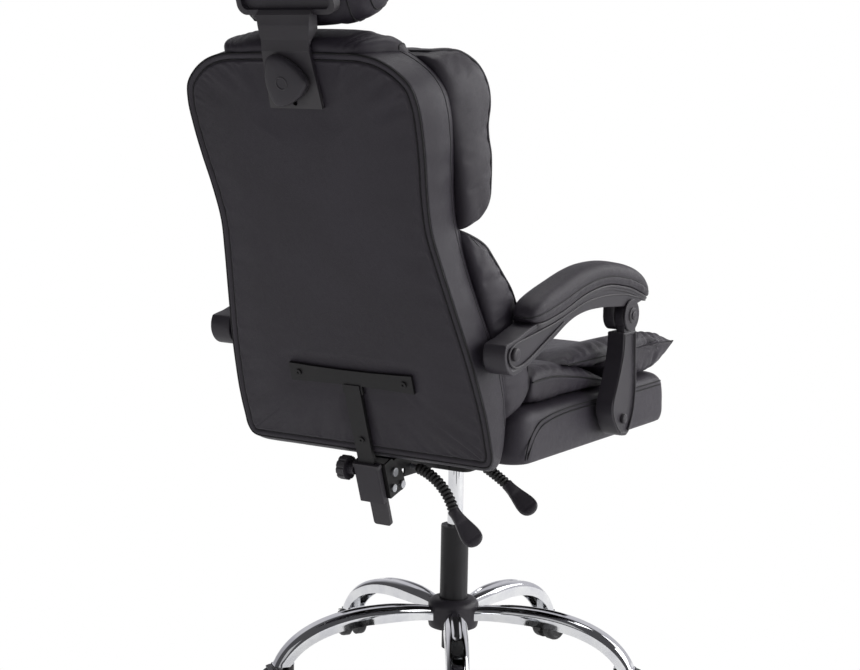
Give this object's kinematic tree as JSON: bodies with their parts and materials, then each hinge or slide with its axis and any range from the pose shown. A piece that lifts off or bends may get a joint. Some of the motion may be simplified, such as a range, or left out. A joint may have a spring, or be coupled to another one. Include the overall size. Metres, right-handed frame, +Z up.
{
  "type": "reclining office chair",
  "caption": "Swivelling, height-adjustable office chair that reclines, with a tall padded back, headrest, padded armrests and a star base on twin-wheel casters.",
  "frame": {"origin": "on the floor, under the axis of the gas lift", "axes": "+Z up along the lift axis, -Y the way the sitter faces, +X the sitter's left"},
  "size_m": [0.6858, 0.9147, 1.3095],
  "materials": {
    "chrome": "polished",
    "black_steel": "satin powder coat",
    "zinc": "zinc plated",
    "black_plastic": "fine grain",
    "black_rubber": "matt",
    "caster_plastic": "moulded",
    "wheel_plastic": "moulded",
    "plywood": "raw",
    "leather": "soft sheen",
    "leather_side": "soft sheen"
  },
  "bodies": {
    "base": {"base_star": "chrome", "hub_cover": "black_plastic", "gas_tube": "black_steel", "tube_bush": "black_plastic", "thrust_bearing": "zinc", "stem_sockets": "zinc"},
    "piston": {"piston_rod": "zinc"},
    "seat": {"gas_cylinder": "chrome", "mechanism_tub": "black_steel", "recline_channel": "black_steel", "seat_bolts": "zinc", "seat_board": "plywood", "seat_base": "leather_side", "seat_cushion": "leather", "seat_roll": "leather", "link_bolts": "black_plastic"},
    "valve": {"valve_pin": "zinc"},
    "height_lever": {"height_rod": "zinc", "height_sleeve": "black_rubber", "height_paddle": "black_plastic"},
    "recline_lever": {"recline_rod": "zinc", "recline_sleeve": "black_rubber", "recline_paddle": "black_plastic"},
    "back": {"back_bracket": "black_steel", "bar_sleeve": "black_plastic", "bracket_bolts": "zinc", "back_bar": "black_steel", "back_screws": "black_steel", "back_board": "plywood", "rear_panel": "leather", "back_core": "leather_side", "back_yoke": "leather", "upper_cushion": "leather", "lumbar_cushion": "leather", "arm_bolts": "black_plastic"},
    "bar_knob": {"side_knob": "black_plastic"},
    "headrest": {"headrest_carrier": "black_plastic", "headrest_pad": "leather"},
    "clamp_knob": {"headrest_knob": "black_plastic"},
    "arm_left": {"arm_frame_left": "black_plastic", "arm_pad_left": "leather"},
    "arm_right": {"arm_frame_right": "black_plastic", "arm_pad_right": "leather"},
    "link_left": {"arm_link_left": "black_plastic"},
    "link_right": {"arm_link_right": "black_plastic"},
    "caster_1": {"caster_frame_1": "caster_plastic"},
    "wheel_left_1": {"wheel_left_1": "wheel_plastic"},
    "wheel_right_1": {"wheel_right_1": "wheel_plastic"},
    "caster_2": {"caster_frame_2": "caster_plastic"},
    "wheel_left_2": {"wheel_left_2": "wheel_plastic"},
    "wheel_right_2": {"wheel_right_2": "wheel_plastic"},
    "caster_3": {"caster_frame_3": "caster_plastic"},
    "wheel_left_3": {"wheel_left_3": "wheel_plastic"},
    "wheel_right_3": {"wheel_right_3": "wheel_plastic"},
    "caster_4": {"caster_frame_4": "caster_plastic"},
    "wheel_left_4": {"wheel_left_4": "wheel_plastic"},
    "wheel_right_4": {"wheel_right_4": "wheel_plastic"},
    "caster_5": {"caster_frame_5": "caster_plastic"},
    "wheel_left_5": {"wheel_left_5": "wheel_plastic"},
    "wheel_right_5": {"wheel_right_5": "wheel_plastic"}
  },
  "joints": [
    {"name": "swivel", "type": "hinge", "parent": "base", "child": "piston", "pos_m": [0, 0, 0.07], "axis": [0, 0, 1], "continuous": true},
    {"name": "lift", "type": "slide", "parent": "piston", "child": "seat", "axis": [0, 0, 1], "range_m": [-0.1, 0]},
    {"name": "height_lever_pull", "type": "hinge", "parent": "seat", "child": "height_lever", "pos_m": [-0.0735, 0.04, 0.416], "axis": [0, 1, 0], "range_deg": [0, 3.2], "stiffness_Nm_per_rad": 6, "springref_deg": -5.73},
    {"name": "valve_press", "type": "slide", "parent": "seat", "child": "valve", "axis": [0, 0, -1], "range_m": [0, 0.0042]},
    {"name": "recline_lever_pull", "type": "hinge", "parent": "seat", "child": "recline_lever", "pos_m": [-0.0251, 0.19, 0.432], "axis": [0, 1, 0], "range_deg": [0, 6], "stiffness_Nm_per_rad": 6, "springref_deg": -5.73},
    {"name": "recline", "type": "hinge", "parent": "seat", "child": "back", "pos_m": [0, 0.25, 0.432], "axis": [-1, 0, 0], "range_deg": [0, 35]},
    {"name": "arm_left_tilt", "type": "hinge", "parent": "back", "child": "arm_left", "pos_m": [0.268, 0.306, 0.66], "axis": [-1, 0, 0], "range_deg": [-31, 0.5]},
    {"name": "arm_right_tilt", "type": "hinge", "parent": "back", "child": "arm_right", "pos_m": [-0.268, 0.306, 0.66], "axis": [-1, 0, 0], "range_deg": [-31, 0.5]},
    {"name": "link_left_tilt", "type": "hinge", "parent": "seat", "child": "link_left", "pos_m": [0.272, -0.082, 0.503], "axis": [-1, 0, 0], "range_deg": [-0.5, 44]},
    {"name": "link_right_tilt", "type": "hinge", "parent": "seat", "child": "link_right", "pos_m": [-0.272, -0.082, 0.503], "axis": [-1, 0, 0], "range_deg": [-0.5, 44]},
    {"name": "headrest_height", "type": "slide", "parent": "back", "child": "headrest", "axis": [0, 0.3305, 0.9438], "range_m": [0, 0.03]},
    {"name": "clamp_knob_turn", "type": "hinge", "parent": "back", "child": "clamp_knob", "pos_m": [0, 0.50597, 1.06773], "axis": [0, -0.9438, 0.3305], "continuous": true},
    {"name": "bar_knob_turn", "type": "hinge", "parent": "back", "child": "bar_knob", "pos_m": [0.04, 0.27914, 0.43515], "axis": [1, 0, 0], "continuous": true},
    {"name": "caster_1_swivel", "type": "hinge", "parent": "base", "child": "caster_1", "pos_m": [-0.168, 0.25576, 0.06], "axis": [0, 0, 1], "continuous": true},
    {"name": "wheel_left_1_roll", "type": "hinge", "parent": "caster_1", "child": "wheel_left_1", "pos_m": [-0.18384, 0.27379, 0.025], "axis": [0.7513, 0.66, 0], "continuous": true},
    {"name": "wheel_right_1_roll", "type": "hinge", "parent": "caster_1", "child": "wheel_right_1", "pos_m": [-0.18384, 0.27379, 0.025], "axis": [0.7513, 0.66, 0], "continuous": true},
    {"name": "caster_2_swivel", "type": "hinge", "parent": "base", "child": "caster_2", "pos_m": [-0.29516, -0.08074, 0.06], "axis": [0, 0, 1], "continuous": true},
    {"name": "wheel_left_2_roll", "type": "hinge", "parent": "caster_2", "child": "wheel_left_2", "pos_m": [-0.3183, -0.08708, 0.025], "axis": [-0.2639, 0.9646, 0], "continuous": true},
    {"name": "wheel_right_2_roll", "type": "hinge", "parent": "caster_2", "child": "wheel_right_2", "pos_m": [-0.3183, -0.08708, 0.025], "axis": [-0.2639, 0.9646, 0], "continuous": true},
    {"name": "caster_3_swivel", "type": "hinge", "parent": "base", "child": "caster_3", "pos_m": [-0.01442, -0.30566, 0.06], "axis": [0, 0, 1], "continuous": true},
    {"name": "wheel_left_3_roll", "type": "hinge", "parent": "caster_3", "child": "wheel_left_3", "pos_m": [-0.0205, -0.32887, 0.025], "axis": [-0.9673, 0.2538, 0], "continuous": true},
    {"name": "wheel_right_3_roll", "type": "hinge", "parent": "caster_3", "child": "wheel_right_3", "pos_m": [-0.0205, -0.32887, 0.025], "axis": [-0.9673, 0.2538, 0], "continuous": true},
    {"name": "caster_4_swivel", "type": "hinge", "parent": "base", "child": "caster_4", "pos_m": [0.28625, -0.10816, 0.06], "axis": [0, 0, 1], "continuous": true},
    {"name": "wheel_left_4_roll", "type": "hinge", "parent": "caster_4", "child": "wheel_left_4", "pos_m": [0.30644, -0.12113, 0.025], "axis": [-0.5402, -0.8415, 0], "continuous": true},
    {"name": "wheel_right_4_roll", "type": "hinge", "parent": "caster_4", "child": "wheel_right_4", "pos_m": [0.30644, -0.12113, 0.025], "axis": [-0.5402, -0.8415, 0], "continuous": true},
    {"name": "caster_5_swivel", "type": "hinge", "parent": "base", "child": "caster_5", "pos_m": [0.19132, 0.23881, 0.06], "axis": [0, 0, 1], "continuous": true},
    {"name": "wheel_left_5_roll", "type": "hinge", "parent": "caster_5", "child": "wheel_left_5", "pos_m": [0.20633, 0.25754, 0.025], "axis": [0.7804, -0.6252, 0], "continuous": true},
    {"name": "wheel_right_5_roll", "type": "hinge", "parent": "caster_5", "child": "wheel_right_5", "pos_m": [0.20633, 0.25754, 0.025], "axis": [0.7804, -0.6252, 0], "continuous": true}
  ],
  "couplings": [
    {"joint": "valve_press", "follows": "height_lever_pull", "m_per_rad": 0.0735},
    {"joint": "arm_left_tilt", "follows": "recline", "ratio": -0.8567},
    {"joint": "arm_right_tilt", "follows": "recline", "ratio": -0.8567},
    {"joint": "link_left_tilt", "follows": "recline", "ratio": 1.2263},
    {"joint": "link_right_tilt", "follows": "recline", "ratio": 1.2263}
  ]
}
